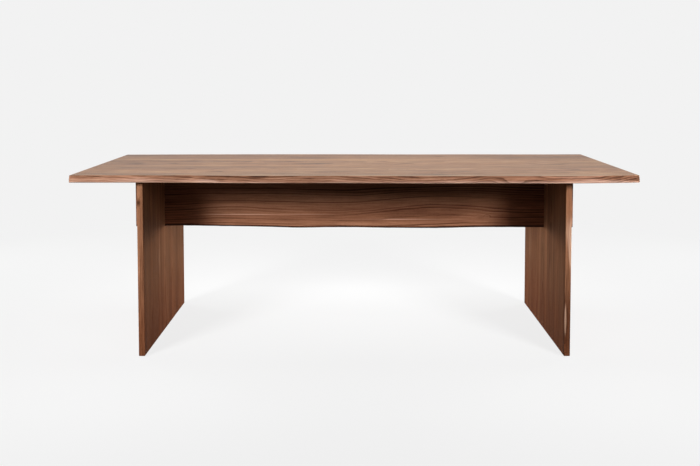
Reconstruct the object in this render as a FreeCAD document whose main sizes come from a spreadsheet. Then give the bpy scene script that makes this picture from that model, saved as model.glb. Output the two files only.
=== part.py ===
import FreeCAD, Part
import os
import Sketcher
from FreeCAD import Placement, Rotation, Vector

# Walnut dining table: a plank top with natural long edges on two panel legs, with a tall stretcher
# that is cross-lapped through both legs. X runs along the table, Y from its front to its back and
# Z up, and the origin is on the floor under the middle of the top.

TOP_BOARDS = 6
LEG_BOARDS = 5
SLOTTED_BOARD = (LEG_BOARDS + 1) // 2
BOLT_HEAD_SIDES = 6

# Boards that the steel angles before and behind the stretcher are fixed to
MIDDLE_SEAM = TOP_BOARDS // 2
ANGLED_TOP_BOARDS = {
    "front": (MIDDLE_SEAM - 1, MIDDLE_SEAM),
    "back": (MIDDLE_SEAM + 1, MIDDLE_SEAM + 2),
}
ANGLED_LEG_BOARDS = {"front": (1, SLOTTED_BOARD - 1), "back": (SLOTTED_BOARD + 1, LEG_BOARDS)}

# How far a cutting outline reaches beyond the board that it cuts
OVERCUT = 10

# Two lengths that differ by less count as the same
PRECISION = 0.01

SIZES = {
    # Whole table
    "table_height": 750,
    # Top, boards counted from the front
    "top_length": 2286,
    "top_thick": 29,
    "board_width_1": 198,
    "board_width_2": 132,
    "board_width_3": 218,
    "board_width_4": 153,
    "board_width_5": 173,
    "board_width_6": 154,
    "top_arris": 2,
    # Natural edges of the top: how far the edge draws in at mid thickness, at the upper face,
    # and at each point that bends its wavy line, from the left end to the right
    "edge_belly": 3,
    "edge_slope": 9,
    "edge_arris": 3,
    "front_wave_1": 34,
    "front_wave_2": 32,
    "front_wave_3": 40,
    "front_wave_4": 20,
    "front_wave_5": 13,
    "front_wave_6": 21,
    "front_wave_7": 12,
    "front_wave_8": 0,
    "front_wave_9": 11,
    "front_wave_10": 3,
    "front_wave_11": 4,
    "front_wave_12": 38,
    "back_wave_1": 26,
    "back_wave_2": 17,
    "back_wave_3": 10,
    "back_wave_4": 6,
    "back_wave_5": 3,
    "back_wave_6": 4,
    "back_wave_7": 9,
    "back_wave_8": 16,
    "back_wave_9": 6,
    "back_wave_10": 11,
    "back_wave_11": 15,
    "back_wave_12": 6,
    # Leg panels
    "leg_thick": 25,
    "leg_board_width": 176,
    "end_overhang": 262,
    "leg_arris": 3,
    # Stretcher: its lower edge rises by each wave above the lowest line
    "stretcher_thick": 25,
    "stretcher_height": 263,
    "stretcher_reach": 106,
    "stretcher_arris": 4,
    "lower_wave_1": 8,
    "lower_wave_2": 14,
    "lower_wave_3": 9,
    "lower_wave_4": 9,
    "lower_wave_5": 0,
    "lower_wave_6": 6,
    "lower_wave_7": 2.5,
    "lower_wave_8": 0,
    "lower_wave_9": 1,
    "lower_wave_10": 7,
    "lower_wave_11": 3,
    "lower_wave_12": 4,
    # Cross-lap: how deep the leg is slotted from its upper edge
    "lap_depth": 128,
    "lap_gap": 0.2,
    # Slip tenons in the glued seams
    "tenon_thick": 8,
    "tenon_width": 40,
    "tenon_length": 44,
    "tenon_gap": 0.1,
    "glue_room": 1,
    "leg_tenon_inset": 110,
    # Steel angles that hold the top to the legs
    "angle_flange": 30,
    "angle_thick": 3,
    "angle_bend": 2,
    "angle_margin": 20,
    # Steel channels let into the underside of the top
    "channel_spacing": 600,
    "channel_width": 40,
    "channel_height": 10,
    "channel_wall": 3,
    "channel_inset": 45,
    "channel_gap": 0.2,
    # Bolts, washers and threaded inserts: the bores stop a skin of wood short of the upper face
    "bolt_diameter": 6,
    "bolt_end_gap": 2,
    "bolt_head_width": 10,
    "bolt_head_height": 4,
    "bolt_head_slope": 30,
    "bolt_gap": 0.3,
    "slot_travel": 8,
    "washer_diameter": 14,
    "washer_thick": 1.5,
    "insert_diameter": 10,
    "insert_gap": 0.05,
    "bore_point": 1,
    "top_skin": 4,
    # Wood screws of the angles
    "screw_diameter": 4.5,
    "screw_length": 20,
    "screw_point": 6,
    "screw_head_diameter": 9,
    "screw_head_height": 3,
    "screw_cross_length": 5,
    "screw_cross_width": 1.2,
    "screw_cross_depth": 1.8,
    # Floor glides and their nails
    "glide_diameter": 20,
    "glide_height": 4,
    "glide_chamfer": 1,
    "glide_setback": 45,
    "nail_diameter": 3,
    "nail_length": 22,
    "nail_head_diameter": 8,
    "nail_head_height": 1.2,
    "nail_head_sink": 1.2,
    "nail_gap": 0.05,
}

doc = FreeCAD.newDocument("panel_leg_table")
sheet = doc.addObject("Spreadsheet::Sheet", "sizes")
for row, (alias, number) in enumerate(SIZES.items(), 1):
    sheet.set(f"A{row}", alias)
    sheet.set(f"B{row}", str(number))
    sheet.setAlias(f"B{row}", alias)
doc.recompute()

# Places that follow from the driving sizes, as expressions

TOP_WIDTHS = [f"sizes.board_width_{number}" for number in range(1, TOP_BOARDS + 1)]
TOP_DEPTH = f"({' + '.join(TOP_WIDTHS)})"
HALF_TOP = "(sizes.top_length / 2)"
UNDERSIDE = "(sizes.table_height - sizes.top_thick)"
LEG_OUTER = f"({HALF_TOP} - sizes.end_overhang)"
LEG_INNER = f"({LEG_OUTER} - sizes.leg_thick)"
LEG_MIDDLE = f"({LEG_INNER} + sizes.leg_thick / 2)"
LEG_DEPTH = f"(sizes.leg_board_width * {LEG_BOARDS})"
LEG_HEIGHT = f"({UNDERSIDE} - sizes.glide_height)"
STRETCHER_HALF = f"({LEG_OUTER} + sizes.stretcher_reach)"
CHANNEL_X = "(sizes.channel_spacing / 2)"
ANGLE_HOLE = "((sizes.angle_thick + sizes.angle_flange) / 2)"
ANGLE_BOLT_X = f"({LEG_OUTER} + {ANGLE_HOLE})"
BOLT_SLOT = "(sizes.bolt_diameter + 2 * sizes.bolt_gap)"
INSERT_BORE = "(sizes.insert_diameter + 2 * sizes.insert_gap)"
BOLT_SLOT_LENGTH = f"({BOLT_SLOT} + sizes.slot_travel)"
INSERT_DEPTH = "(sizes.top_thick - sizes.channel_height - sizes.top_skin)"
INSERT_LENGTH = f"({INSERT_DEPTH} - sizes.bore_point)"
BOLT_GRIP = f"(sizes.washer_thick + {INSERT_LENGTH} - sizes.bolt_end_gap)"
SCREW_BORE = "(sizes.screw_diameter + 2 * sizes.bolt_gap)"
NAIL_BORE = "(sizes.nail_diameter + 2 * sizes.nail_gap)"
LEG_X = {"left": f"-{LEG_MIDDLE}", "right": LEG_MIDDLE}
GLIDE_INSET = f"({LEG_DEPTH} / 2 - sizes.glide_setback)"
GLIDE_Y = {"front": f"-{GLIDE_INSET}", "back": GLIDE_INSET}
MORTISE_DEPTH = "(sizes.tenon_length / 2 + sizes.glue_room)"
MORTISE_WIDTH = "(sizes.tenon_width + 2 * sizes.tenon_gap)"
MORTISE_THICK = "(sizes.tenon_thick + 2 * sizes.tenon_gap)"

INNER_TENON_X = f"(({CHANNEL_X} + {LEG_INNER}) / 2)"
OUTER_TENON_X = f"(({LEG_OUTER} + sizes.angle_flange + {HALF_TOP}) / 2)"
TENON_COLUMNS = [f"-{OUTER_TENON_X}", f"-{INNER_TENON_X}", "0", INNER_TENON_X, OUTER_TENON_X]
TENON_ROWS = ["sizes.leg_tenon_inset", f"{LEG_HEIGHT} / 2", f"({LEG_HEIGHT} - sizes.leg_tenon_inset)"]


def top_seam(count):
    """The Y place of the seam behind that many top boards."""
    passed = " + ".join(TOP_WIDTHS[:count]) or "0"
    return f"({passed} - {TOP_DEPTH} / 2)"


def top_centre(number):
    """The Y place of the middle of one top board, counted from the front."""
    return f"({top_seam(number - 1)} + {TOP_WIDTHS[number - 1]} / 2)"


def leg_seam(count):
    """The Y place of the seam behind that many leg boards."""
    return f"(sizes.leg_board_width * {count} - {LEG_DEPTH} / 2)"


def leg_centre(number):
    """The Y place of the middle of one leg board, counted from the front."""
    return f"({leg_seam(number - 1)} + sizes.leg_board_width / 2)"


# Helpers for sketches and features


def value(expression):
    """The number that an expression has now."""
    return float(sheet.evalExpression(expression))


def wave_sizes(edge):
    """The sizes that draw one natural edge, in order along it."""
    return [f"sizes.{name}" for name in SIZES if name.startswith(f"{edge}_wave_")]


def new_body(label):
    """An empty body with its own label."""
    body = doc.addObject("PartDesign::Body", label)
    body.Label = label
    return body


def place(item, x="0", y="0", z="0", turn=None):
    """Put an object at expressions for its place, with a fixed turn."""
    if turn is not None:
        item.Placement = Placement(Vector(), turn)
    for axis, expression in zip("xyz", (x, y, z)):
        item.setExpression(f".Placement.Base.{axis}", expression)


def new_sketch(body, role, offset="0"):
    """A sketch on one of the body's own planes, moved along that plane's normal."""
    sketch = body.newObject("Sketcher::SketchObject", f"{body.Label}_sketch")
    plane = next(item for item in body.Origin.OriginFeatures if item.Role == role)
    sketch.AttachmentSupport = [(plane, "")]
    sketch.MapMode = "FlatFace"
    sketch.setExpression(".AttachmentOffset.Base.z", offset)
    return sketch


def bind_point(sketch, geometry, vertex, x, y):
    """Tie one point of a sketch to expressions for its two coordinates."""
    for kind, expression in (("DistanceX", x), ("DistanceY", y)):
        rule = Sketcher.Constraint(kind, -1, 1, geometry, vertex, value(expression))
        index = sketch.addConstraint(rule)
        sketch.setExpression(f"Constraints[{index}]", expression)


def bind_size(sketch, kind, geometry, expression):
    """Tie a radius or diameter of a sketch to an expression."""
    index = sketch.addConstraint(Sketcher.Constraint(kind, geometry, value(expression)))
    sketch.setExpression(f"Constraints[{index}]", expression)


def spot(x, y):
    """The point of a sketch that two expressions give now."""
    return Vector(value(x), value(y), 0)


def add_polygon(sketch, corners):
    """A closed outline with straight sides through corners given as expressions."""
    points = [spot(x, y) for x, y in corners]
    ends = points[1:] + points[:1]
    sides = [sketch.addGeometry(Part.LineSegment(a, b), False) for a, b in zip(points, ends)]
    for side, following in zip(sides, sides[1:] + sides[:1]):
        sketch.addConstraint(Sketcher.Constraint("Coincident", side, 2, following, 1))
    for side, (x, y) in zip(sides, corners):
        bind_point(sketch, side, 1, x, y)


def add_rectangle(sketch, x0, x1, y0, y1):
    """A rectangle between expressions for its four sides."""
    add_polygon(sketch, [(x0, y0), (x1, y0), (x1, y1), (x0, y1)])


def add_circle(sketch, x, y, diameter):
    """A circle at expressions for its centre and diameter."""
    shape = Part.Circle(spot(x, y), Vector(0, 0, 1), value(diameter) / 2)
    circle = sketch.addGeometry(shape, False)
    bind_point(sketch, circle, 3, x, y)
    bind_size(sketch, "Diameter", circle, diameter)


def add_slot(sketch, x, y, length, width, upright=False):
    """A slot with round ends, along the sketch's X, or along its Y if it is upright."""
    reach = f"(({length} - {width}) / 2)"
    shift = ("0", reach) if upright else (reach, "0")
    start = (f"{x} - {shift[0]}", f"{y} - {shift[1]}")
    finish = (f"{x} + {shift[0]}", f"{y} + {shift[1]}")
    first, last = spot(*start), spot(*finish)
    along = (last - first).normalize()
    side = Vector(-along.y, along.x, 0) * (value(width) / 2)
    round_end = along * (value(width) / 2)
    shapes = [
        Part.LineSegment(first - side, last - side),
        Part.Arc(last - side, last + round_end, last + side),
        Part.LineSegment(last + side, first + side),
        Part.Arc(first + side, first - round_end, first - side),
    ]
    chain = [sketch.addGeometry(shape, False) for shape in shapes]
    for one, following in zip(chain, chain[1:] + chain[:1]):
        sketch.addConstraint(Sketcher.Constraint("Tangent", one, 2, following, 1))
    last_arc, first_arc = chain[1], chain[3]
    sketch.addConstraint(Sketcher.Constraint("Equal", last_arc, first_arc))
    bind_point(sketch, last_arc, 3, *finish)
    bind_point(sketch, first_arc, 3, *start)
    bind_size(sketch, "Radius", first_arc, f"{width} / 2")


def add_wavy_outline(sketch, poles, corners):
    """A closed outline: a smooth curve drawn by its poles, then straight sides through corners."""
    curve = Part.BSplineCurve()
    curve.buildFromPoles([spot(x, y) for x, y in poles], False, 3)
    edge = sketch.addGeometry(curve, False)
    sketch.exposeInternalGeometry(edge)
    shapes = enumerate(sketch.Geometry)
    handles = [index for index, shape in shapes if shape.TypeId == "Part::GeomCircle"]
    for handle, (x, y) in zip(handles, poles):
        bind_point(sketch, handle, 3, x, y)
    points = [poles[-1]] + corners + [poles[0]]
    sides = []
    for start, end in zip(points, points[1:]):
        sides.append(sketch.addGeometry(Part.LineSegment(spot(*start), spot(*end)), False))
    chain = [edge] + sides
    for side, following in zip(chain, chain[1:] + chain[:1]):
        sketch.addConstraint(Sketcher.Constraint("Coincident", side, 2, following, 1))
    for side, (x, y) in zip(sides, corners):
        bind_point(sketch, side, 2, x, y)


def add_pad(body, sketch, length, reverse=False):
    """Raise a sketch into a solid."""
    pad = body.newObject("PartDesign::Pad", f"{body.Label}_pad")
    pad.Profile = sketch
    pad.setExpression("Length", length)
    pad.Reversed = reverse
    doc.recompute()
    return pad


def add_pocket(body, sketch, depth, reverse=False):
    """Cut a sketch into the solid, and make sure that it took material away."""
    before = body.Shape.Volume
    pocket = body.newObject("PartDesign::Pocket", f"{body.Label}_pocket")
    pocket.Profile = sketch
    pocket.setExpression("Length", depth)
    pocket.Reversed = reverse
    doc.recompute()
    if body.Shape.Volume >= before:
        raise ValueError(f"a pocket of {body.Label} cuts nothing")
    return pocket


def ease_edges(body, feature, radius, wanted):
    """Round the edges of a feature that the test picks by their middle and their run."""
    names = []
    for number, edge in enumerate(feature.Shape.Edges, 1):
        box = edge.BoundBox
        if wanted(edge.CenterOfMass, Vector(box.XLength, box.YLength, box.ZLength)):
            names.append(f"Edge{number}")
    fillet = body.newObject("PartDesign::Fillet", f"{body.Label}_arris")
    fillet.Base = (feature, names)
    fillet.setExpression("Radius", radius)
    doc.recompute()
    return fillet


def near(one, other):
    """Whether two lengths are the same to within the model's precision."""
    return abs(one - other) < PRECISION


def group(label, master, places, turn=None):
    """A node of separate copies of one piece, each at its own place."""
    copies = []
    for x, y, z in places:
        copy = doc.addObject("App::Link", f"{label}_copy")
        copy.LinkedObject = master
        place(copy, x, y, z, turn)
        copies.append(copy)
    gathered = doc.addObject("Part::Compound", label)
    gathered.Label = label
    gathered.Links = copies
    return gathered


# Boards of the top


def cut_mortises(body, width, seams, columns, upright):
    """Sink mortises for slip tenons into the seam faces of a board, at local Y zero and at its width."""
    for at_far_side in seams:
        sketch = new_sketch(body, "XZ_Plane", f"-{width}" if at_far_side else "0")
        for x, z in columns:
            add_slot(sketch, x, z, MORTISE_WIDTH, MORTISE_THICK, upright)
        add_pocket(body, sketch, MORTISE_DEPTH, reverse=at_far_side)


def shape_natural_edge(body, width, is_front):
    """Cut the outer side of a top board to the sloping, wavy line of the tree's own edge."""
    waves = wave_sizes("front" if is_front else "back")
    levels = {"0": "0", "sizes.top_thick / 2": "sizes.edge_belly", "sizes.top_thick": "sizes.edge_slope"}
    sections = []
    for level, drawn_in in levels.items():
        sketch = new_sketch(body, "XY_Plane", level)
        poles = []
        for number, wave in enumerate(waves):
            share = f"({number} / {len(waves) - 1} - 1 / 2)"
            depth = f"({wave} + {drawn_in})"
            poles.append((f"sizes.top_length * {share}", depth if is_front else f"({width} - {depth})"))
        far = f"-{OVERCUT}" if is_front else f"({width} + {OVERCUT})"
        add_wavy_outline(sketch, poles, [(HALF_TOP, far), (f"-{HALF_TOP}", far)])
        sections.append(sketch)
    before = body.Shape.Volume
    loft = body.newObject("PartDesign::SubtractiveLoft", f"{body.Label}_natural_edge")
    loft.Profile = sections[0]
    loft.Sections = sections[1:]
    doc.recompute()
    if body.Shape.Volume >= before:
        raise ValueError(f"the natural edge of {body.Label} cuts nothing")
    return loft


def make_top_board(number):
    """One board of the top, with its mortises, channel recesses and insert bores."""
    is_front = number == 1
    is_back = number == TOP_BOARDS
    ending = "_front" if is_front else "_back" if is_back else ""
    body = new_body(f"top_board_{number}{ending}")
    place(body, y=top_seam(number - 1), z=UNDERSIDE)
    width = TOP_WIDTHS[number - 1]
    sketch = new_sketch(body, "XY_Plane")
    add_rectangle(sketch, f"-{HALF_TOP}", HALF_TOP, "0", width)
    slab = add_pad(body, sketch, "sizes.top_thick")
    if is_front or is_back:
        slab = shape_natural_edge(body, width, is_front)

    half = value(HALF_TOP)
    if is_front or is_back:
        outer = 0 if is_front else value(width)
        reach = value(width) / 2
        slab = ease_edges(
            body, slab, "sizes.edge_arris",
            lambda middle, run: run.x > half and abs(middle.y - outer) < reach,
        )
    ease_edges(
        body, slab, "sizes.top_arris",
        lambda middle, run: near(abs(middle.x), half) and run.y > run.z,
    )

    columns = [(x, "sizes.top_thick / 2") for x in TENON_COLUMNS]
    seams = [far for far, wanted in ((False, not is_front), (True, not is_back)) if wanted]
    cut_mortises(body, width, seams, columns, upright=False)

    recess = new_sketch(body, "XY_Plane")
    recess_end = "(sizes.channel_inset - sizes.channel_gap)"
    recess_half = "(sizes.channel_width / 2 + sizes.channel_gap)"
    for middle in (f"-{CHANNEL_X}", CHANNEL_X):
        add_rectangle(
            recess, f"{middle} - {recess_half}", f"{middle} + {recess_half}",
            recess_end if is_front else "0", f"({width} - {recess_end})" if is_back else width,
        )
    add_pocket(body, recess, "sizes.channel_height", reverse=True)

    bores = new_sketch(body, "XY_Plane", "sizes.channel_height")
    for x in (f"-{CHANNEL_X}", CHANNEL_X):
        add_circle(bores, x, f"{width} / 2", INSERT_BORE)
    add_pocket(body, bores, INSERT_DEPTH, reverse=True)
    if not is_front and not is_back:
        bores = new_sketch(body, "XY_Plane")
        for x in (f"-{ANGLE_BOLT_X}", ANGLE_BOLT_X):
            add_circle(bores, x, f"{width} / 2", INSERT_BORE)
        add_pocket(body, bores, INSERT_DEPTH, reverse=True)
    return body


# Boards of the leg panels


def make_leg_board(side, number):
    """One upright board of a leg panel. Its local X points outward, so the left leg is turned round."""
    is_left = side == "left"
    is_front = number == 1
    is_back = number == LEG_BOARDS
    ending = "_front" if is_front else "_back" if is_back else "_slotted" if number == SLOTTED_BOARD else ""
    body = new_body(f"{side}_leg_board_{number}{ending}")
    if is_left:
        place(body, f"-{LEG_INNER}", leg_seam(number), "sizes.glide_height", Rotation(Vector(0, 0, 1), 180))
    else:
        place(body, LEG_INNER, leg_seam(number - 1), "sizes.glide_height")
    width = "sizes.leg_board_width"
    first = is_back if is_left else is_front
    last = is_front if is_left else is_back
    sketch = new_sketch(body, "XY_Plane")
    add_rectangle(sketch, "0", "sizes.leg_thick", "0", width)
    slab = add_pad(body, sketch, LEG_HEIGHT)
    if first or last:
        outer = 0 if first else value(width)
        slab = ease_edges(
            body, slab, "sizes.leg_arris",
            lambda middle, run: run.z > run.x + run.y and near(middle.y, outer),
        )
    ease_edges(body, slab, "sizes.top_arris", lambda middle, run: near(middle.z, 0) and run.y > run.x)

    columns = [("sizes.leg_thick / 2", z) for z in TENON_ROWS]
    seams = [far for far, wanted in ((False, not first), (True, not last)) if wanted]
    cut_mortises(body, width, seams, columns, upright=True)

    if number == SLOTTED_BOARD:
        slot = new_sketch(body, "YZ_Plane")
        slot_half = "(sizes.stretcher_thick / 2 + sizes.lap_gap)"
        add_rectangle(
            slot, f"{width} / 2 - {slot_half}", f"{width} / 2 + {slot_half}",
            f"({LEG_HEIGHT} - sizes.lap_depth)", LEG_HEIGHT,
        )
        add_pocket(body, slot, "sizes.leg_thick", reverse=True)
    else:
        pilot = new_sketch(body, "YZ_Plane", "sizes.leg_thick")
        add_circle(pilot, f"{width} / 2", f"({LEG_HEIGHT} - {ANGLE_HOLE})", "sizes.screw_diameter")
        add_pocket(body, pilot, "sizes.screw_length - sizes.angle_thick")

    if first or last:
        bore = new_sketch(body, "XY_Plane")
        setback = "sizes.glide_setback" if first else f"({width} - sizes.glide_setback)"
        add_circle(bore, "sizes.leg_thick / 2", setback, NAIL_BORE)
        add_pocket(body, bore, "sizes.nail_length", reverse=True)
    return body


# Stretcher


def make_stretcher():
    """The tall board under the top, with its natural lower edge and the notches of its cross-laps."""
    body = new_body("stretcher")
    place(body, z=UNDERSIDE)
    waves = wave_sizes("lower")
    poles = []
    for number, wave in enumerate(waves):
        share = f"({number} / {len(waves) - 1} * 2 - 1)"
        poles.append((f"{STRETCHER_HALF} * {share}", f"({wave} - sizes.stretcher_height)"))
    sketch = new_sketch(body, "XZ_Plane", "-sizes.stretcher_thick / 2")
    add_wavy_outline(sketch, poles, [(STRETCHER_HALF, "0"), (f"-{STRETCHER_HALF}", "0")])
    board = add_pad(body, sketch, "sizes.stretcher_thick")
    ease_edges(body, board, "sizes.stretcher_arris", lambda middle, run: not near(middle.z, 0))
    notches = new_sketch(body, "XZ_Plane", "sizes.stretcher_thick / 2")
    for sign in (-1, 1):
        x0, x1 = f"{sign} * ({LEG_INNER} - sizes.lap_gap)", f"{sign} * ({LEG_OUTER} + sizes.lap_gap)"
        add_rectangle(notches, x0, x1, "-sizes.stretcher_height", "-sizes.lap_depth")
    add_pocket(body, notches, "sizes.stretcher_thick")
    return body


# Steel angles and channels


def make_angle(side, end):
    """A folded steel angle between a leg's outer face and the underside of the top."""
    body = new_body(f"top_angle_{side}_{end}")
    sign = -1 if side == "left" else 1
    turn = Rotation(Vector(0, 0, 1), 180) if side == "left" else None
    place(body, f"{sign} * {LEG_OUTER}", "0", UNDERSIDE, turn)
    screws = [leg_centre(number) for number in ANGLED_LEG_BOARDS[end]]
    bolts = [top_centre(number) for number in ANGLED_TOP_BOARDS[end]]
    first = f"(min({screws[0]}; {bolts[0]}) - sizes.angle_margin)"
    last = f"(max({screws[1]}; {bolts[1]}) + sizes.angle_margin)"
    profile = new_sketch(body, "XZ_Plane", f"-{last}" if sign > 0 else first)
    flange, wall = "sizes.angle_flange", "sizes.angle_thick"
    corners = [("0", "0"), (flange, "0"), (flange, f"-{wall}")]
    corners += [(wall, f"-{wall}"), (wall, f"-{flange}"), ("0", f"-{flange}")]
    add_polygon(profile, corners)
    bar = add_pad(body, profile, f"{last} - {first}")
    thick = value(wall)
    bar = ease_edges(
        body, bar, "sizes.angle_bend",
        lambda middle, run: run.y > run.x + run.z and near(middle.x, thick) and near(middle.z, -thick),
    )
    ease_edges(
        body, bar, "sizes.angle_bend + sizes.angle_thick",
        lambda middle, run: run.y > run.x + run.z and near(middle.x, 0) and near(middle.z, 0),
    )
    slots = new_sketch(body, "XY_Plane")
    for y in bolts:
        add_slot(slots, ANGLE_HOLE, f"{sign} * {y}", BOLT_SLOT_LENGTH, BOLT_SLOT, upright=True)
    add_pocket(body, slots, wall)
    holes = new_sketch(body, "YZ_Plane")
    for y in screws:
        add_circle(holes, f"{sign} * {y}", f"-{ANGLE_HOLE}", SCREW_BORE)
    add_pocket(body, holes, wall, reverse=True)
    return body


def make_channel(side):
    """A steel channel that lies flush in the underside of the top, with its walls upward."""
    body = new_body(f"stiffener_{side}")
    sign = -1 if side == "left" else 1
    place(body, f"{sign} * {CHANNEL_X}", "0", UNDERSIDE)
    half, wall, height = "sizes.channel_width / 2", "sizes.channel_wall", "sizes.channel_height"
    reach = f"({TOP_DEPTH} / 2 - sizes.channel_inset)"
    profile = new_sketch(body, "XZ_Plane", f"-{reach}")
    corners = [(f"-{half}", "0"), (half, "0"), (half, height), (f"{half} - {wall}", height)]
    corners += [(f"{half} - {wall}", wall), (f"{wall} - {half}", wall), (f"{wall} - {half}", height)]
    corners += [(f"-{half}", height)]
    add_polygon(profile, corners)
    add_pad(body, profile, f"2 * {reach}")
    slots = new_sketch(body, "XY_Plane")
    for number in range(1, TOP_BOARDS + 1):
        add_slot(slots, "0", top_centre(number), BOLT_SLOT_LENGTH, BOLT_SLOT, upright=True)
    add_pocket(body, slots, wall, reverse=True)
    return body


# Fasteners, slip tenons and glides


def turn_profile(body, kind, profile):
    """Add or cut a full turn about the body's Z axis, from a half profile of radius and height."""
    sketch = new_sketch(body, "XZ_Plane")
    add_polygon(sketch, profile)
    turned = body.newObject(f"PartDesign::{kind}", f"{body.Label}_turned")
    turned.Profile = sketch
    turned.ReferenceAxis = (sketch, ["V_Axis"])
    turned.Angle = 360
    doc.recompute()


def make_bolt(label, length):
    """A hexagon-head bolt, with the head's seat at Z zero and the shank upward."""
    body = new_body(label)
    shank = new_sketch(body, "XY_Plane")
    add_circle(shank, "0", "0", "sizes.bolt_diameter")
    add_pad(body, shank, length)
    head = new_sketch(body, "XY_Plane")
    step = 360 / BOLT_HEAD_SIDES
    corner = f"(sizes.bolt_head_width / 2 / cos({step / 2} deg))"
    angles = [f"{step * number} deg" for number in range(BOLT_HEAD_SIDES)]
    add_polygon(head, [(f"{corner} * cos({angle})", f"{corner} * sin({angle})") for angle in angles])
    add_pad(body, head, "sizes.bolt_head_height", reverse=True)
    flat = "sizes.bolt_head_width / 2"
    end = "-sizes.bolt_head_height"
    slope = f"({corner} - {flat}) * tan(sizes.bolt_head_slope * 1 deg)"
    turn_profile(body, "Groove", [(flat, end), (corner, end), (corner, f"{end} + {slope}")])
    return body


def make_ring(label, outer, inner, thick):
    """A plain ring that stands on Z zero."""
    body = new_body(label)
    sketch = new_sketch(body, "XY_Plane")
    add_circle(sketch, "0", "0", outer)
    add_circle(sketch, "0", "0", inner)
    add_pad(body, sketch, thick)
    return body


def make_turned(label, profile):
    """A piece turned about its Z axis from a half profile of radius and height."""
    body = new_body(label)
    turn_profile(body, "Revolution", profile)
    return body


def make_screw():
    """A pan-head wood screw with a cross recess, its head's seat at Z zero and its point downward."""
    radius, head = "sizes.screw_diameter / 2", "sizes.screw_head_diameter / 2"
    body = make_turned("screw", [
        ("0", "-sizes.screw_length"), (radius, "sizes.screw_point - sizes.screw_length"), (radius, "0"),
        (head, "0"), (head, "sizes.screw_head_height"), ("0", "sizes.screw_head_height"),
    ])
    for upright in (False, True):
        recess = new_sketch(body, "XY_Plane", "sizes.screw_head_height")
        add_slot(recess, "0", "0", "sizes.screw_cross_length", "sizes.screw_cross_width", upright)
        add_pocket(body, recess, "sizes.screw_cross_depth")
    return body


def make_nail():
    """The nail of a floor glide, from the floor up, with its head sunk in the glide."""
    radius, head = "sizes.nail_diameter / 2", "sizes.nail_head_diameter / 2"
    seat = "(sizes.nail_head_sink + sizes.nail_head_height)"
    tip = "(sizes.glide_height + sizes.nail_length)"
    return make_turned("nail", [
        ("0", "sizes.nail_head_sink"), (head, "sizes.nail_head_sink"), (head, seat), (radius, seat),
        (radius, f"{tip} - sizes.nail_diameter"), ("0", tip),
    ])


def make_glide(side, end):
    """A floor glide under one corner of a leg, with a sunk seat for its nail."""
    outer, bore = "sizes.glide_diameter / 2", f"{NAIL_BORE} / 2"
    sink = "(sizes.nail_head_diameter / 2 + sizes.nail_gap)"
    seat = "(sizes.nail_head_sink + sizes.nail_head_height)"
    body = make_turned(f"glide_{side}_{end}", [
        (sink, "0"), (f"{outer} - sizes.glide_chamfer", "0"), (outer, "sizes.glide_chamfer"),
        (outer, "sizes.glide_height"), (bore, "sizes.glide_height"), (bore, seat), (sink, seat),
    ])
    place(body, LEG_X[side], GLIDE_Y[end])
    return body


def make_tenon():
    """A slip tenon with round edges, wide along X and long along Y."""
    body = new_body("slip_tenon")
    sketch = new_sketch(body, "XZ_Plane", "-sizes.tenon_length / 2")
    add_slot(sketch, "0", "0", "sizes.tenon_width", "sizes.tenon_thick")
    add_pad(body, sketch, "sizes.tenon_length")
    return body


def bolt_sets(name, bolt, spots, seat, insert_seat):
    """The bolts, washers and inserts under spots of the top, with the washers against a seat."""
    head_seat = f"({seat} - sizes.washer_thick)"
    return [
        group(f"{name}_bolts", bolt, [(x, y, head_seat) for x, y in spots]),
        group(f"{name}_washers", washer, [(x, y, head_seat) for x, y in spots]),
        group(f"{name}_inserts", insert, [(x, y, insert_seat) for x, y in spots]),
    ]


# Assembly

SIDES = ("left", "right")
ENDS = ("front", "back")
nodes = [make_top_board(number) for number in range(1, TOP_BOARDS + 1)]
nodes += [make_leg_board(side, number) for side in SIDES for number in range(1, LEG_BOARDS + 1)]
nodes.append(make_stretcher())

tenon = make_tenon()
middle_of_top = f"({UNDERSIDE} + sizes.top_thick / 2)"
for seam in range(1, TOP_BOARDS):
    places = [(x, top_seam(seam), middle_of_top) for x in TENON_COLUMNS]
    nodes.append(group(f"top_slip_tenons_{seam}", tenon, places))
upright = Rotation(Vector(0, 1, 0), 90)
for side in SIDES:
    places = []
    for seam in range(1, LEG_BOARDS):
        places += [(LEG_X[side], leg_seam(seam), f"(sizes.glide_height + {z})") for z in TENON_ROWS]
    nodes.append(group(f"{side}_leg_slip_tenons", tenon, places, upright))

nodes += [make_angle(side, end) for side in SIDES for end in ENDS]
nodes += [make_channel(side) for side in SIDES]

washer = make_ring("washer", "sizes.washer_diameter", BOLT_SLOT, "sizes.washer_thick")
insert = make_ring("insert", "sizes.insert_diameter", BOLT_SLOT, INSERT_LENGTH)
angle_bolt = make_bolt("angle_bolt", f"({BOLT_GRIP} + sizes.angle_thick)")
angled = ANGLED_TOP_BOARDS["front"] + ANGLED_TOP_BOARDS["back"]
spots = [(x, top_centre(number)) for x in (f"-{ANGLE_BOLT_X}", ANGLE_BOLT_X) for number in angled]
nodes += bolt_sets("angle", angle_bolt, spots, f"({UNDERSIDE} - sizes.angle_thick)", UNDERSIDE)
channel_bolt = make_bolt("channel_bolt", f"({BOLT_GRIP} + sizes.channel_height)")
every = range(1, TOP_BOARDS + 1)
spots = [(x, top_centre(number)) for x in (f"-{CHANNEL_X}", CHANNEL_X) for number in every]
nodes += bolt_sets("stiffener", channel_bolt, spots, UNDERSIDE, f"({UNDERSIDE} + sizes.channel_height)")

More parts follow.
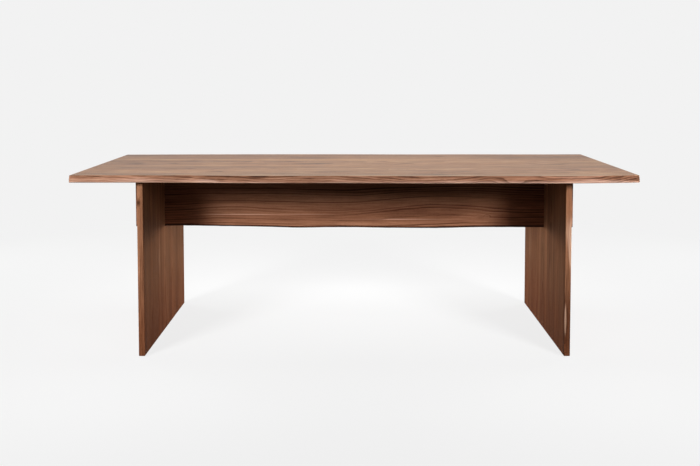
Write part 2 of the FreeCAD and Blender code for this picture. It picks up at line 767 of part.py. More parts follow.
screw = make_screw()
screw_x = f"({LEG_OUTER} + sizes.angle_thick)"
screw_z = f"({UNDERSIDE} - {ANGLE_HOLE})"
screwed = ANGLED_LEG_BOARDS["front"] + ANGLED_LEG_BOARDS["back"]
for side, sign in (("left", -1), ("right", 1)):
    places = [(f"{sign} * {screw_x}", leg_centre(number), screw_z) for number in screwed]
    nodes.append(group(f"{side}_angle_screws", screw, places, Rotation(Vector(0, 1, 0), sign * 90)))

nodes += [make_glide(side, end) for side in SIDES for end in ENDS]
places = [(LEG_X[side], GLIDE_Y[end], "0") for side in SIDES for end in ENDS]
nodes.append(group("glide_nails", make_nail(), places))

doc.recompute()

# Checks, then one file for each piece

for item in doc.Objects:
    if "Invalid" in item.State or "Error" in item.State:
        raise ValueError(f"{item.Label} failed: {item.State}")
for node in nodes:
    if node.Shape.isNull() or not node.Shape.isValid():
        raise ValueError(f"{node.Label} has no valid shape")

os.makedirs("parts", exist_ok=True)
for node in nodes:
    node.Shape.exportStep(f"parts/{node.Label}.step")
print(len(nodes), "nodes written")
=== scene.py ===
"""Looks of a natural-edged walnut dining table on panel legs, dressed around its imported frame."""

import logging
import math
from dataclasses import dataclass, replace
from enum import Enum
from typing import ClassVar

import bmesh
import bpy
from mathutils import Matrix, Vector, noise


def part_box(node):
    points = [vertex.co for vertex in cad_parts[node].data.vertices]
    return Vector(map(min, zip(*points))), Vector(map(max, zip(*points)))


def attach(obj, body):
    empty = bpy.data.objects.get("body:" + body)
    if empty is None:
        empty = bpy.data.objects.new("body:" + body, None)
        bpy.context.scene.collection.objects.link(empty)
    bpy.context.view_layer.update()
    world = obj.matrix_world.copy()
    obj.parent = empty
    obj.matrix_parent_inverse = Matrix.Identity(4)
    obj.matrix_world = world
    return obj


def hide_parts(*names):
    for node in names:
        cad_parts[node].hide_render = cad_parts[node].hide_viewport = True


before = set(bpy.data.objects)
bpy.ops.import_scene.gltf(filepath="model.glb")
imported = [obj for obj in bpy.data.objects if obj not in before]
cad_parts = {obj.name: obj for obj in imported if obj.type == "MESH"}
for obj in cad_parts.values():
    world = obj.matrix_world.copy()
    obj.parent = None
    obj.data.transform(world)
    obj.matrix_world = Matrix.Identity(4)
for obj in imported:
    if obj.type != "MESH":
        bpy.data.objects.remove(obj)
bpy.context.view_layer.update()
BODY = "root"
LOG = logging.getLogger("dining_table")

Colour = tuple[float, float, float]
Point = tuple[float, float, float]
Box = tuple[Vector, Vector]
Range = tuple[float, float]
Line = tuple[tuple[float, float], ...]
Stops = list[tuple[float, Colour]]

X, Y, Z = 0, 1, 2
NOISE_MIDDLE = 0.5


class Grain(Enum):
    """How a board lies: the frame axes that run along, across and through it."""

    LENGTHWISE = (X, Y, Z)
    ON_EDGE = (X, Z, Y)
    UPRIGHT = (Z, Y, X)


class Mark(Enum):
    """What a place in a board can hold; streaks and blushes also serve as painted shadow."""

    KNOT = "knot"
    SWELL = "swell"
    STREAK = "streak"
    SAPWOOD = "sapwood"
    BLUSH = "blush"


class Pattern(Enum):
    """A pattern of walnut: its number among a board's seeds, its waves to the metre and its octaves.

    Waves run along, across and through the board, those of lines and bands along it and by its rings.
    Each board sets those of its flecks.
    """

    DRIFT = (0.0, (0.7, 2.4, 2.4), 2.0)
    RIPPLE = (1.0, (3.2, 15.0, 15.0), 2.0)
    SHIVER = (2.0, (11.0, 120.0, 120.0), 2.0)
    LINES = (3.0, (0.5, 0.55, 1.0), 2.0)
    BANDS = (4.0, (0.16, 0.11, 1.0), 3.0)
    STREAK = (5.0, (0.9, 42.0, 42.0), 4.0)
    FIBRE = (6.0, (9.0, 620.0, 620.0), 1.0)
    PORE = (7.0, (55.0, 1500.0, 1500.0), 0.0)
    FLUSH = (8.0, (0.6, 9.0, 9.0), 2.0)
    CLOUD = (9.0, (1.5, 24.0, 24.0), 4.0)
    FLECK = (10.0, (), 3.0)


@dataclass(frozen=True)
class Figure:
    """One place where the wood differs from the rest of its board.

    Centre and reach are metres along, across and through the board.
    """

    mark: Mark
    centre: Point
    reach: Point
    strength: float = 1.0


class Term:
    """A shader value in an expression: arithmetic on it adds Math nodes."""

    def __init__(self, shader: "Shader", socket: bpy.types.NodeSocket) -> None:
        """Wrap an output socket of a shader's tree."""
        self.shader = shader
        self.socket = socket

    def __add__(self, other: "Term | float") -> "Term":
        """This value plus another."""
        return self.shader.maths("ADD", self, other)

    def __radd__(self, other: float) -> "Term":
        """A number plus this value."""
        return self.shader.maths("ADD", other, self)

    def __sub__(self, other: "Term | float") -> "Term":
        """This value less another."""
        return self.shader.maths("SUBTRACT", self, other)

    def __rsub__(self, other: float) -> "Term":
        """A number less this value."""
        return self.shader.maths("SUBTRACT", other, self)

    def __mul__(self, other: "Term | float") -> "Term":
        """This value times another."""
        return self.shader.maths("MULTIPLY", self, other)

    def __rmul__(self, other: float) -> "Term":
        """A number times this value."""
        return self.shader.maths("MULTIPLY", other, self)

    def __truediv__(self, other: "Term | float") -> "Term":
        """This value over another."""
        return self.shader.maths("DIVIDE", self, other)

    def __rtruediv__(self, other: float) -> "Term":
        """A number over this value."""
        return self.shader.maths("DIVIDE", other, self)


class Shader:
    """A material's or the world's node tree, built from expressions."""

    SEED_STEP: ClassVar[Point] = (3.17, 5.71, 1.93)

    def __init__(self, owner: bpy.types.Material | bpy.types.World) -> None:
        """Start an empty tree.

        Args:
            owner: The material or world that holds the tree.
        """
        owner.use_nodes = True
        self.tree = owner.node_tree
        self.tree.nodes.clear()

    def node(
        self, kind: str, settings: dict | None = None, inputs: dict | None = None
    ) -> bpy.types.Node:
        """Add one node.

        Args:
            kind: The node's type name.
            settings: Its properties, which are set first; stops are those of a colour ramp, and points
                those of a curve.
            inputs: Values or links of its sockets, by name or number.

        Returns:
            The new node.
        """
        made = self.tree.nodes.new(kind)
        for key, value in (settings or {}).items():
            if key == "stops":
                self._set_stops(made.color_ramp, value)
            elif key == "points":
                self._set_points(made.mapping, value)
            else:
                setattr(made, key, value)
        for key, value in (inputs or {}).items():
            self._feed(made.inputs[key], value)
        return made

    def _set_stops(self, ramp: bpy.types.ColorRamp, stops: Stops) -> None:
        """Give a colour ramp its stops.

        Args:
            ramp: The ramp to fill.
            stops: The place and colour of each stop, in order.
        """
        while len(ramp.elements) < len(stops):
            ramp.elements.new(1.0)
        for element, (position, colour) in zip(ramp.elements, stops):
            element.position = position
            element.color = (*colour, 1.0)

    def _set_points(self, mapping: bpy.types.CurveMapping, points: Line) -> None:
        """Give a curve its points.

        Args:
            mapping: The settings that hold the curve.
            points: The places that it runs through, in order.
        """
        curve = mapping.curves[0]
        while len(curve.points) < len(points):
            curve.points.new(1.0, 1.0)
        for point, place in zip(curve.points, points):
            point.location = place
        mapping.update()

    def _feed(self, socket: bpy.types.NodeSocket, value: object) -> None:
        """Link an input or set its own value.

        Args:
            socket: The input.
            value: A term or an output socket to link, or a plain value to set.
        """
        if isinstance(value, Term):
            value = value.socket
        if isinstance(value, bpy.types.NodeSocket):
            self.tree.links.new(value, socket)
        elif socket.type == "RGBA":
            socket.default_value = (*value, 1.0)
        else:
            socket.default_value = value

    def maths(self, operation: str, *values: Term | float) -> Term:
        """One Math node on up to three values."""
        made = self.node("ShaderNodeMath", {"operation": operation}, dict(enumerate(values)))
        return Term(self, made.outputs[0])

    def ease(self, value: Term, low: float, high: float) -> Term:
        """A smooth step.

        Args:
            value: What it is read from.
            low: Where it is 0; this may be the larger.
            high: Where it is 1.

        Returns:
            A term from 0 to 1.
        """
        made = self.node(
            "ShaderNodeMapRange",
            {"interpolation_type": "SMOOTHSTEP"},
            {"Value": value, "From Min": low, "From Max": high},
        )
        return Term(self, made.outputs[0])

    def scaled(self, vector: bpy.types.NodeSocket, times: Point, plus: Point) -> bpy.types.NodeSocket:
        """A vector times one vector plus another."""
        made = self.node(
            "ShaderNodeVectorMath", {"operation": "MULTIPLY_ADD"}, {0: vector, 1: times, 2: plus}
        )
        return made.outputs[0]

    def distance(self, vector: bpy.types.NodeSocket, centre: Point, reach: Point) -> Term:
        """How far a vector is from a centre.

        Args:
            vector: The vector.
            centre: Where the distance is 0.
            reach: How far off it is 1, in each direction.

        Returns:
            A term of 0 or more.
        """
        inverse = tuple(1.0 / size for size in reach)
        offset = tuple(-place * share for place, share in zip(centre, inverse))
        made = self.node(
            "ShaderNodeVectorMath", {"operation": "LENGTH"}, {0: self.scaled(vector, inverse, offset)}
        )
        return Term(self, made.outputs["Value"])

    def noise(
        self, vector: bpy.types.NodeSocket, stretch: Point, seed: float, detail: float = 2.0
    ) -> Term:
        """Smooth noise on a stretched vector.

        Args:
            vector: Where it is read.
            stretch: How many waves it has to the metre in each direction.
            seed: Moves it to a place of its own.
            detail: How many finer octaves it has.

        Returns:
            A term around 0.5.
        """
        moved = self.scaled(vector, stretch, tuple(seed * step for step in self.SEED_STEP))
        made = self.node("ShaderNodeTexNoise", None, {"Vector": moved, "Scale": 1.0, "Detail": detail})
        return Term(self, made.outputs["Fac"])

    def mix(
        self, factor: Term | float, first: object, second: object, blend: str = "MIX"
    ) -> bpy.types.NodeSocket:
        """A colour between two colours, or one blended over the other.

        Args:
            factor: The share of the second colour.
            first: A colour or a link to one.
            second: A colour or a link to one.
            blend: How the second goes over the first.

        Returns:
            The new colour.
        """
        made = self.node(
            "ShaderNodeMix",
            {"data_type": "RGBA", "blend_type": blend},
            {0: factor, 6: first, 7: second},
        )
        return made.outputs[2]

    def ramp(self, factor: Term, stops: Stops) -> bpy.types.NodeSocket:
        """A colour from a ramp of stops."""
        made = self.node("ShaderNodeValToRGB", {"stops": stops}, {"Fac": factor})
        return made.outputs["Color"]

    def curve(self, value: Term, points: Line) -> Term:
        """A value read from a curve through points, which like the value lie between 0 and 1."""
        made = self.node("ShaderNodeFloatCurve", {"points": points}, {"Value": value})
        return Term(self, made.outputs[0])

    def place(self) -> bpy.types.NodeSocket:
        """The place on the object, in metres of the frame."""
        return self.node("ShaderNodeTexCoord").outputs["Object"]

    def parts(self, vector: bpy.types.NodeSocket) -> list[Term]:
        """The three numbers of a vector."""
        made = self.node("ShaderNodeSeparateXYZ", None, {0: vector})
        return [Term(self, socket) for socket in made.outputs]

    def vector(self, x: Term | float, y: Term | float, z: Term | float) -> bpy.types.NodeSocket:
        """A vector of three numbers."""
        return self.node("ShaderNodeCombineXYZ", None, {0: x, 1: y, 2: z}).outputs[0]

    def arris(self, places: list[Term], box: Box, reach: float) -> Term:
        """How near a point is to an edge of a box, where two of its faces meet.

        Args:
            places: The point's three coordinates.
            box: The box's lowest and highest corner.
            reach: How far from the edge the closeness fades out.

        Returns:
            A term from 0 to 1.
        """
        near = []
        for place, low, high in zip(places, *box):
            inside = self.maths("MINIMUM", place - low, high - place)
            near.append(self.ease(inside, reach, 0.0))
        least = self.maths("MINIMUM", near[0], near[1])
        most = self.maths("MAXIMUM", near[0], near[1])
        return self.maths("MAXIMUM", least, self.maths("MINIMUM", most, near[2]))

    def surface(self, height: Term, strength: float, depth: float, **sockets: object) -> None:
        """Finish a material with one principled surface.

        Args:
            height: The relief that its bump shows.
            strength: How strongly the bump shows.
            depth: The height of the relief in metres.
            **sockets: Values or links of the surface's own sockets, with _ for a space.
        """
        relief = {"Strength": strength, "Distance": depth, "Height": height}
        bump = self.node("ShaderNodeBump", None, relief)
        inputs = {key.replace("_", " "): value for key, value in sockets.items()}
        inputs["Normal"] = bump.outputs[0]
        shader = self.node("ShaderNodeBsdfPrincipled", None, inputs)
        self.node("ShaderNodeOutputMaterial", None, {"Surface": shader.outputs[0]})


WALNUT_STOPS: Stops = [
    (0.00, (0.030, 0.013, 0.008)),
    (0.22, (0.088, 0.035, 0.019)),
    (0.44, (0.190, 0.083, 0.046)),
    (0.60, (0.272, 0.126, 0.073)),
    (0.78, (0.352, 0.188, 0.115)),
    (1.00, (0.500, 0.315, 0.205)),
]


@dataclass(frozen=True)
class Walnut:
    """Oiled walnut, cut from a log whose rings run on through faces, edges and ends.

    Pith is where the log's middle lies, across and through the board. Spacing is the width of a ring,
    taper how fast the rings widen along the board, and ring spread how gently single rings differ. Tone
    shifts the whole board lighter or darker, bands sets how much its rings' colours differ, dapple how
    cloudy it is, mottle how much of that is flecks, and fleck how many of these there are to the metre.
    Rim shade is how dark the painted shade along a natural lower edge is, and line the edge's places
    along and across the board. Red is how ruddy its ruddy parts are, gloss its roughness and tint its
    cast. Edge tone and edge tint are those of its sides, which show the log's outer rings, and edge life
    is how much more these differ there. Figures are its own marks.
    """

    seed: float
    grain: Grain
    pith: tuple[float, float]
    spacing: float = 0.0045
    taper: float = 0.012
    ring_spread: float = 0.30
    tone: float = 0.0
    bands: float = 1.0
    dapple: float = 0.24
    mottle: float = 0.8
    fleck: Point = (9.0, 110.0, 110.0)
    # painted shade along a natural lower edge, where it turns down away from the lamps
    rim_shade: float = 0.0
    line: Line = ()
    red: float = 0.5
    gloss: float = 0.46
    specular: float = 0.5
    tint: Colour = (1.0, 1.0, 1.0)
    edge_tone: float = 0.0
    edge_life: float = 1.0
    edge_tint: Colour = (1.0, 1.0, 1.0)
    figures: tuple[Figure, ...] = ()

    SAP: ClassVar[Colour] = (0.540, 0.322, 0.232)
    RED: ClassVar[Colour] = (1.05, 0.95, 0.90)
    BLUSH: ClassVar[Colour] = (1.04, 0.82, 0.70)

    # How far the patterns and marks push the rings, in metres
    DRIFT_PUSH: ClassVar[float] = 0.10
    RIPPLE_PUSH: ClassVar[float] = 0.016
    SHIVER_PUSH: ClassVar[float] = 0.0016
    MARK_PUSH: ClassVar[float] = 0.045

    # Where each feature of the wood starts to show and where it is full
    LATE_RISE: ClassVar[Range] = (0.30, 0.94)
    LATE_FALL: ClassVar[Range] = (1.0, 0.94)
    LINE_MIDDLE: ClassVar[float] = 0.51
    PORES: ClassVar[Range] = (0.60, 0.72)
    FLUSH: ClassVar[Range] = (0.40, 0.62)
    PALE: ClassVar[Range] = (0.25, 0.75)
    FACING: ClassVar[Range] = (0.6, 0.95)
    SEAM: ClassVar[Range] = (0.0016, 0.0004)
    # Rim: where the painted shade along a natural lower edge fades in
    RIM: ClassVar[Range] = (0.0105, 0.0065)
    RUB: ClassVar[Range] = (-0.12, 0.12)
    RUB_REACH: ClassVar[float] = 0.006
    FREE_REACH: ClassVar[float] = 0.001

    # How much each pattern and mark adds to the shade or takes from it
    BASE_SHADE: ClassVar[float] = 0.57
    BAND_SHADE: ClassVar[float] = 0.55
    STREAK_SHADE: ClassVar[float] = 0.32
    SIDE_SHADE: ClassVar[float] = 0.5
    FIBRE_SHADE: ClassVar[float] = 0.40
    LATE_SHADE: ClassVar[float] = 0.24
    PORE_SHADE: ClassVar[float] = 0.10
    END_SHADE: ClassVar[float] = 0.10
    SEAM_SHADE: ClassVar[float] = 0.16
    RUB_SHADE: ClassVar[float] = 0.10
    KNOT_SHADE: ClassVar[float] = 0.45
    DARK_SHADE: ClassVar[float] = 0.35
    DARK_STREAKS: ClassVar[float] = 2.0

    # How streaks and ripples fray the sapwood, and how much heartwood shows in it
    SAP_STREAKS: ClassVar[float] = 0.9
    SAP_RIPPLES: ClassVar[float] = 0.8
    SAP_HEART: ClassVar[float] = 0.35

    # How much each pattern roughens the oiled surface or smooths it
    FIBRE_ROUGH: ClassVar[float] = 0.20
    PORE_ROUGH: ClassVar[float] = 0.10
    LATE_ROUGH: ClassVar[float] = 0.05
    END_ROUGH: ClassVar[float] = 0.10
    RUB_SMOOTH: ClassVar[float] = 0.06

    # How high each pattern stands out of the surface or lies in it, and the relief's own size in metres
    FIBRE_HEIGHT: ClassVar[float] = 0.6
    PORE_DEPTH: ClassVar[float] = 0.7
    LATE_DEPTH: ClassVar[float] = 0.35
    SEAM_DEPTH: ClassVar[float] = 1.5
    RELIEF_STRENGTH: ClassVar[float] = 0.35
    RELIEF_DEPTH: ClassVar[float] = 0.0004

    def material(self, name: str, board: Box, panel: Box) -> bpy.types.Material:
        """Make the finish for one board.

        Args:
            name: The material's name.
            board: The board's own box, whose seams show.
            panel: The box of the glued panel, whose edges are rubbed.

        Returns:
            The new material.
        """
        made = bpy.data.materials.new(name)
        s = Shader(made)
        places = s.parts(s.place())
        along, across, through = (places[axis] for axis in self.grain.value)
        grain = s.vector(along, across, through)
        marks = self._marks(s, grain)

        drift = self._swing(s, grain, Pattern.DRIFT)
        ripple = self._swing(s, grain, Pattern.RIPPLE)
        shiver = self._swing(s, grain, Pattern.SHIVER)
        side = across - self.pith[0] + drift * self.DRIFT_PUSH
        deep = through - self.pith[1]
        growth = s.maths("SQRT", side * side + deep * deep) + along * self.taper
        growth = growth + ripple * self.RIPPLE_PUSH + shiver * self.SHIVER_PUSH + marks["push"]
        ring = growth / self.spacing

        phase = s.maths("FRACT", ring)
        late = s.ease(phase, *self.LATE_RISE) * s.ease(phase, *self.LATE_FALL)
        years = s.vector(along, ring, drift)
        faint, dark = self.LINE_MIDDLE - self.ring_spread, self.LINE_MIDDLE + self.ring_spread
        lines = s.ease(self._noise(s, years, Pattern.LINES), faint, dark)
        bands = self._swing(s, years, Pattern.BANDS)
        streak = self._swing(s, grain, Pattern.STREAK)
        cloud = self._swing(s, grain, Pattern.CLOUD)
        fleck = self._swing(s, grain, Pattern.FLECK)
        fibre = self._swing(s, grain, Pattern.FIBRE)
        pore = s.ease(self._noise(s, grain, Pattern.PORE), *self.PORES)

        low, high = self._seams(board, panel)
        seam = s.ease(s.maths("MINIMUM", across - low, high - across), *self.SEAM)
        facing = s.parts(s.node("ShaderNodeTexCoord").outputs["Normal"])
        end, flank = (
            s.ease(s.maths("ABSOLUTE", facing[axis]), *self.FACING) for axis in self.grain.value[:2]
        )
        rub = s.arris(places, panel, self.RUB_REACH) * s.ease(ripple, *self.RUB)

        life = flank * self.edge_life
        lively = life * self.bands + self.bands
        shade = flank * self.edge_tone + self.BASE_SHADE + self.tone + bands * lively * self.BAND_SHADE
        shade = shade + streak * (life * self.SIDE_SHADE + self.STREAK_SHADE) + fibre * self.FIBRE_SHADE
        shade = shade - late * lines * lively * self.LATE_SHADE - pore * self.PORE_SHADE
        shade = shade - end * self.END_SHADE - seam * self.SEAM_SHADE
        shade = shade + (cloud + fleck * self.mottle) * (life * self.SIDE_SHADE + self.dapple)
        # painted shade along the natural lower edge
        shade = shade - self._rim(s, along, across)
        shade = shade - marks["dark"] * (1.0 + streak * self.DARK_STREAKS) + rub * self.RUB_SHADE

        colour = s.ramp(shade, WALNUT_STOPS)
        flush = s.ease(self._noise(s, grain, Pattern.FLUSH), *self.FLUSH)
        colour = s.mix(flush * self.red, colour, self.RED, "MULTIPLY")
        colour = s.mix(marks["red"], colour, self.BLUSH, "MULTIPLY")
        pale = marks["sap"] + streak * self.SAP_STREAKS + ripple * self.SAP_RIPPLES
        sap = s.mix(self.SAP_HEART + late * self.SAP_HEART, self.SAP, colour)
        colour = s.mix(s.ease(pale, *self.PALE), colour, sap)
        colour = s.mix(1.0, colour, self.tint, "MULTIPLY")
        colour = s.mix(flank, colour, self.edge_tint, "MULTIPLY")

        rough = self.gloss + fibre * self.FIBRE_ROUGH + pore * self.PORE_ROUGH + late * self.LATE_ROUGH
        rough = rough - rub * self.RUB_SMOOTH + end * self.END_ROUGH
        height = fibre * self.FIBRE_HEIGHT - pore * self.PORE_DEPTH
        height = height - late * self.LATE_DEPTH - seam * self.SEAM_DEPTH
        s.surface(
            height, self.RELIEF_STRENGTH, self.RELIEF_DEPTH,
            Base_Color=colour, Roughness=rough, Specular_IOR_Level=self.specular, IOR=1.5,
        )
        return made

    def _noise(self, s: Shader, where: bpy.types.NodeSocket, pattern: Pattern) -> Term:
        """One pattern of this board's wood, around 0.5."""
        number, waves, detail = pattern.value
        return s.noise(where, waves or self.fleck, self.seed + number, detail)

    def _swing(self, s: Shader, where: bpy.types.NodeSocket, pattern: Pattern) -> Term:
        """One pattern of this board's wood, around 0."""
        return self._noise(s, where, pattern) - NOISE_MIDDLE

    def _rim(self, s: Shader, along: Term, across: Term) -> Term | float:
        """How much painted shade darkens a place near the natural lower edge.

        Args:
            s: The finish's tree.
            along: The place along the board.
            across: The place across it.

        Returns:
            What is taken from the shade.
        """
        if not self.line:
            return 0.0
        start, finish = self.line[0][0], self.line[-1][0]
        low = min(place[1] for place in self.line)
        high = max(place[1] for place in self.line)
        points = tuple(((x - start) / (finish - start), (z - low) / (high - low)) for x, z in self.line)
        edge = s.curve((along - start) / (finish - start), points) * (high - low) + low
        return s.ease(across - edge, *self.RIM) * self.rim_shade

    def _seams(self, board: Box, panel: Box) -> Range:
        """Where a board is glued to its neighbours, across it.

        Args:
            board: The board's own box.
            panel: The box of the glued panel.

        Returns:
            The places of its two seams; a free side is moved out of reach.
        """
        axis = self.grain.value[1]
        sides = []
        for corner, outer, away in zip(board, panel, (-1.0, 1.0)):
            is_free = abs(corner[axis] - outer[axis]) < self.FREE_REACH
            sides.append(corner[axis] + away if is_free else corner[axis])
        return sides[0], sides[1]

    def _marks(self, s: Shader, grain: bpy.types.NodeSocket) -> dict[str, Term | float]:
        """Add up what the board's figures do.

        Args:
            s: The finish's tree.
            grain: The place in the board, along, across and through it.

        Returns:
            How much they push the rings aside, darken, redden and leave sapwood.
        """
        total: dict[str, Term | float] = {"push": 0.0, "dark": 0.0, "sap": 0.0, "red": 0.0}
        for figure in self.figures:
            near = s.ease(s.distance(grain, figure.centre, figure.reach), 1.0, 0.0) * figure.strength
            if figure.mark in (Mark.KNOT, Mark.SWELL):
                total["push"] = near * self.MARK_PUSH + total["push"]
            if figure.mark is Mark.KNOT:
                total["dark"] = near * near * self.KNOT_SHADE + total["dark"]
            elif figure.mark is Mark.STREAK:
                total["dark"] = near * self.DARK_SHADE + total["dark"]
            elif figure.mark is Mark.BLUSH:
                total["red"] = near + total["red"]
            elif figure.mark is Mark.SAPWOOD:
                total["sap"] = near + total["sap"]
        return total


@dataclass(frozen=True)
class Beech:
    """Plain sanded beech, as slip tenons are cut from."""

    colour: Colour = (0.60, 0.40, 0.24)
    fleck: Colour = (0.42, 0.25, 0.13)

    def material(self, name: str) -> bpy.types.Material:
        """Make the finish.

        Args:
            name: The material's name.

        Returns:
            The new material.
        """
        made = bpy.data.materials.new(name)
        s = Shader(made)
        place = s.place()
        fibre = s.noise(place, (500.0, 14.0, 500.0), seed=1.0)
        fleck = s.noise(place, (900.0, 130.0, 900.0), seed=2.0, detail=0.0)
        fleck = s.ease(fleck, low=0.60, high=0.70)
        tone = s.noise(place, (30.0, 4.0, 30.0), seed=3.0)
        colour = s.mix(fleck * 0.6 + (tone - NOISE_MIDDLE) * 0.5, self.colour, self.fleck)
        rough = 0.6 + fibre * 0.15
        height = fibre - fleck * 0.5
        s.surface(height, strength=0.3, depth=0.0002, Base_Color=colour, Roughness=rough)
        return made


@dataclass(frozen=True)
class PowderCoat:
    """Black powder coat on folded steel, with a fine orange skin and rubbed edges."""

    colour: Colour = (0.022, 0.022, 0.023)
    worn: Colour = (0.115, 0.112, 0.108)

    def material(self, name: str, box: Box) -> bpy.types.Material:
        """Make the finish for one piece.

        Args:
            name: The material's name.
            box: The piece's box, whose edges are rubbed.

        Returns:
            The new material.
        """
        made = bpy.data.materials.new(name)
        s = Shader(made)
        place = s.place()
        skin = s.noise(place, (900.0, 900.0, 900.0), seed=1.0, detail=1.0)
        cloud = s.noise(place, (22.0, 22.0, 22.0), seed=2.0, detail=3.0)
        dust = s.noise(place, (160.0, 160.0, 160.0), seed=3.0, detail=3.0)
        dust = s.ease(dust, low=0.58, high=0.74)
        rub = s.arris(s.parts(place), box, reach=0.0022) * s.ease(cloud, low=0.42, high=0.58)
        colour = s.mix(rub * 0.7 + dust * 0.12 + (cloud - NOISE_MIDDLE) * 0.12, self.colour, self.worn)
        rough = 0.44 + skin * 0.14 + dust * 0.12 - rub * 0.08
        s.surface(skin, strength=0.35, depth=0.0003, Base_Color=colour, Roughness=rough)
        return made


@dataclass(frozen=True)
class BareMetal:
    """Bright metal with a colour that drifts a little, and fine turning or rolling marks."""

    colour: Colour
    dull: Colour
    rough: float

    def material(self, name: str) -> bpy.types.Material:
        """Make the finish.

        Args:
            name: The material's name.

        Returns:
            The new material.
        """
        made = bpy.data.materials.new(name)
        s = Shader(made)
        place = s.place()
        cloud = s.noise(place, (90.0, 90.0, 90.0), seed=1.0, detail=3.0)
        marks = s.noise(place, (260.0, 260.0, 2600.0), seed=2.0, detail=1.0)
        spots = s.noise(place, (700.0, 700.0, 700.0), seed=3.0, detail=2.0)
        spots = s.ease(spots, low=0.60, high=0.72)
        dulled = s.ease(cloud, low=0.35, high=0.70) * 0.8 + spots * 0.2
        colour = s.mix(dulled, self.colour, self.dull)
        rough = self.rough + (cloud - NOISE_MIDDLE) * 0.25 + marks * 0.10 + spots * 0.12
        s.surface(marks, strength=0.25, depth=0.0001, Base_Color=colour, Roughness=rough, Metallic=1.0)
        return made


@dataclass(frozen=True)
class Nylon:
    """Matte brown nylon with a moulded grain, scuffed where it meets the floor."""

    colour: Colour = (0.060, 0.040, 0.029)
    scuffed: Colour = (0.200, 0.165, 0.135)
    sole: float = 0.0016

    def material(self, name: str) -> bpy.types.Material:
        """Make the finish.

        Args:
            name: The material's name.

        Returns:
            The new material.
        """
        made = bpy.data.materials.new(name)
        s = Shader(made)
        place = s.place()
        pebble = s.noise(place, (1400.0, 1400.0, 1400.0), seed=1.0, detail=1.0)
        scratch = s.noise(place, (1200.0, 90.0, 90.0), seed=2.0, detail=2.0)
        sole = s.ease(s.parts(place)[Z], low=self.sole, high=0.0)
        scuff = sole * s.ease(scratch, low=0.45, high=0.65)
        colour = s.mix(scuff + (pebble - NOISE_MIDDLE) * 0.2, self.colour, self.scuffed)
        rough = 0.52 + pebble * 0.14 + scuff * 0.2
        s.surface(pebble, strength=0.4, depth=0.0002, Base_Color=colour, Roughness=rough)
        return made


def join_boxes(names: list[str]) -> Box:
    """The box around several nodes of the frame.

    Args:
        names: The nodes' names.

    Returns:
        Its lowest and highest corner.
    """
    boxes = [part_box(name) for name in names]
    low = Vector(map(min, *(box[0] for box in boxes)))
    high = Vector(map(max, *(box[1] for box in boxes)))
    return low, high


def wear(piece: str | bpy.types.Object, *materials: bpy.types.Material) -> None:
    """Put finishes on a piece and report them.

    Args:
        piece: A node of the frame, by its name, or a new piece.
        *materials: The finishes, in the order of its slots.
    """
    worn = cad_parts[piece] if isinstance(piece, str) else piece
    slots = worn.data.materials
    for number, material in enumerate(materials):
        if number < len(slots):
            slots[number] = material
        else:
            slots.append(material)
        LOG.info("%s wears %s", worn.name, material.name)


